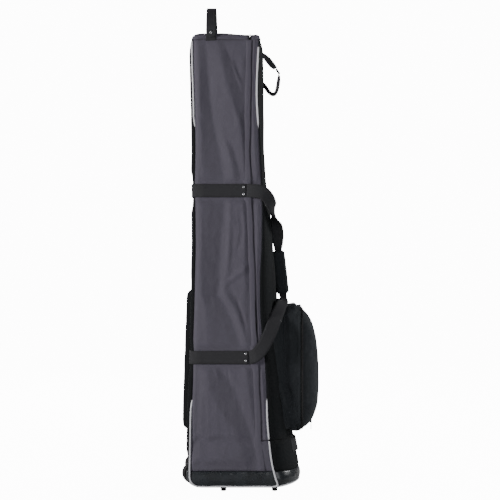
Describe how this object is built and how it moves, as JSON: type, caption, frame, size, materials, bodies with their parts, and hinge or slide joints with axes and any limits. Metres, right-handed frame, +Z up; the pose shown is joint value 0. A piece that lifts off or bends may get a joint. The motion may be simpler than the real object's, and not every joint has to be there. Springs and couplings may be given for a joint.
{
  "type": "wheeled golf travel cover",
  "caption": "Tall soft golf travel cover standing on feet, with corner wheels, zipped front flap, shoe pouch, webbing carry handles, top grab handle and white piping.",
  "frame": {"origin": "on the floor, below the middle of the overall bounding box", "axes": "+Z up, +X towards the front (the pouch side), +Y towards the bag's left side"},
  "size_m": [0.392, 0.3492, 1.402],
  "materials": {
    "grey_fabric": "heavy 600-denier polyester with a woven grain, matt with a faint sheen",
    "black_fabric": "heavy 600-denier polyester, near black, matt",
    "boot_leatherette": "embossed coated leatherette, semi-gloss black",
    "webbing": "polypropylene webbing with a ribbed weave, black",
    "piping_white": "smooth PVC piping, white",
    "board_black": "extruded polyethylene board",
    "foam_lining": "foam-backed tricot lining",
    "housing_black": "moulded polypropylene, fine texture",
    "foot_black": "moulded rubber foot",
    "tyre_black": "soft urethane inline-skate style tyre",
    "core_grey": "moulded nylon wheel core",
    "steel": "zinc-plated steel",
    "rivet_nickel": "nickel-plated tubular rivets",
    "zip_black": "nylon coil zip and tape, black",
    "slider_gunmetal": "lacquered zinc zip slider",
    "pull_black": "moulded rubber zip pull",
    "buckle_black": "acetal buckle, fine satin"
  },
  "bodies": {
    "cover_body": {"side_panel_right": "grey_fabric", "side_panel_left": "grey_fabric", "back_panel": "black_fabric", "top_panel": "grey_fabric", "kick_panel": "black_fabric", "boot": "boot_leatherette", "base_board": "board_black", "back_stay_board": "board_black", "hood_padding": "foam_lining", "back_rub_pad": "black_fabric", "piping_right": "piping_white", "piping_left": "piping_white", "feet": "foot_black", "foot_screws": "steel", "wheel_housing_right": "housing_black", "wheel_housing_left": "housing_black", "housing_screws": "steel", "axle_right": "steel", "axle_left": "steel", "axle_nuts": "steel", "strap_upper": "webbing", "strap_lower": "webbing", "strap_rivets": "rivet_nickel", "handle_right": "webbing", "handle_left": "webbing", "grip_wrap": "black_fabric", "top_handle_tabs": "webbing", "top_handle_rivets": "rivet_nickel", "zip_tape_body": "zip_black", "foot_handle": "webbing", "inner_strap_upper": "webbing", "inner_strap_lower": "webbing", "inner_buckles": "buckle_black"},
    "wheel_right": {"tyre_right": "tyre_black", "wheel_core_right": "core_grey", "bearings_right": "steel"},
    "wheel_left": {"tyre_left": "tyre_black", "wheel_core_left": "core_grey", "bearings_left": "steel"},
    "front_flap": {"flap_front": "black_fabric", "flap_side_right": "grey_fabric", "flap_side_left": "grey_fabric", "flap_top": "grey_fabric", "flap_piping": "piping_white", "zip_tape_flap": "zip_black", "pouch_gusset": "black_fabric", "pouch_zip_body": "zip_black", "tie_strap": "webbing", "tie_buckle": "buckle_black"},
    "pouch_lid_body": {"pouch_lid": "black_fabric", "pouch_zip_lid": "zip_black", "pocket_ear": "steel"},
    "pocket_pull_body": {"pocket_pull": "steel"},
    "pouch_slider_body": {"pouch_slider": "slider_gunmetal"},
    "pouch_pull_body": {"pouch_pull": "pull_black"},
    "slider_lower_body": {"slider_lower": "slider_gunmetal"},
    "slider_upper_body": {"slider_upper": "slider_gunmetal"},
    "pull_lower_body": {"slider_pull_lower": "pull_black"},
    "pull_upper_body": {"slider_pull_upper": "pull_black"},
    "top_handle": {"top_handle_strap": "webbing"}
  },
  "joints": [
    {"name": "wheel_right_spin", "type": "hinge", "parent": "cover_body", "child": "wheel_right", "pos_m": [-0.164, -0.105, 0.051], "axis": [0, 1, 0], "continuous": true},
    {"name": "wheel_left_spin", "type": "hinge", "parent": "cover_body", "child": "wheel_left", "pos_m": [-0.164, 0.105, 0.051], "axis": [0, 1, 0], "continuous": true},
    {"name": "front_flap_open", "type": "hinge", "parent": "cover_body", "child": "front_flap", "pos_m": [0.124, 0, 0.15], "axis": [0, 1, 0], "range_deg": [0, 80], "deforming": ["handle_right", "handle_left", "grip_wrap"]},
    {"name": "pouch_lid_open", "type": "hinge", "parent": "front_flap", "child": "pouch_lid_body", "pos_m": [0.1465, 0.1163, 0.35], "axis": [0, 0, 1], "range_deg": [0, 110]},
    {"name": "pocket_pull_swing", "type": "hinge", "parent": "pouch_lid_body", "child": "pocket_pull_body", "pos_m": [0.178, -0.045, 0.19], "axis": [0, 1, 0], "range_deg": [-75, 25]},
    {"name": "pouch_slider_travel", "type": "slide", "parent": "front_flap", "child": "pouch_slider_body", "axis": [0, -1, 0], "range_m": [0, 0.118]},
    {"name": "pouch_pull_lift", "type": "hinge", "parent": "pouch_slider_body", "child": "pouch_pull_body", "pos_m": [0.14829, 0.056, 0.52902], "axis": [0.9138, 0, -0.4061], "range_deg": [-160, 0]},
    {"name": "slider_lower_travel", "type": "slide", "parent": "cover_body", "child": "slider_lower_body", "axis": [0.0412, 0.0194, -0.999], "range_m": [0, 0.448]},
    {"name": "pull_lower_lift", "type": "hinge", "parent": "slider_lower_body", "child": "pull_lower_body", "pos_m": [0.00904, 0.16148, 0.61008], "axis": [0.9992, 0, 0.0412], "range_deg": [0, 160]},
    {"name": "slider_upper_travel", "type": "slide", "parent": "cover_body", "child": "slider_upper_body", "axis": [-0.0412, -0.0194, 0.999], "range_m": [0, 0.196]},
    {"name": "pull_upper_lift", "type": "hinge", "parent": "slider_upper_body", "child": "pull_upper_body", "pos_m": [0.00828, 0.16112, 0.62858], "axis": [0.9992, 0, 0.0412], "range_deg": [-160, 0]},
    {"name": "top_handle_tilt", "type": "hinge", "parent": "cover_body", "child": "top_handle", "pos_m": [-0.112, 0, 1.315], "axis": [0, 1, 0], "range_deg": [-70, 70], "stiffness_Nm_per_rad": 0.15}
  ]
}
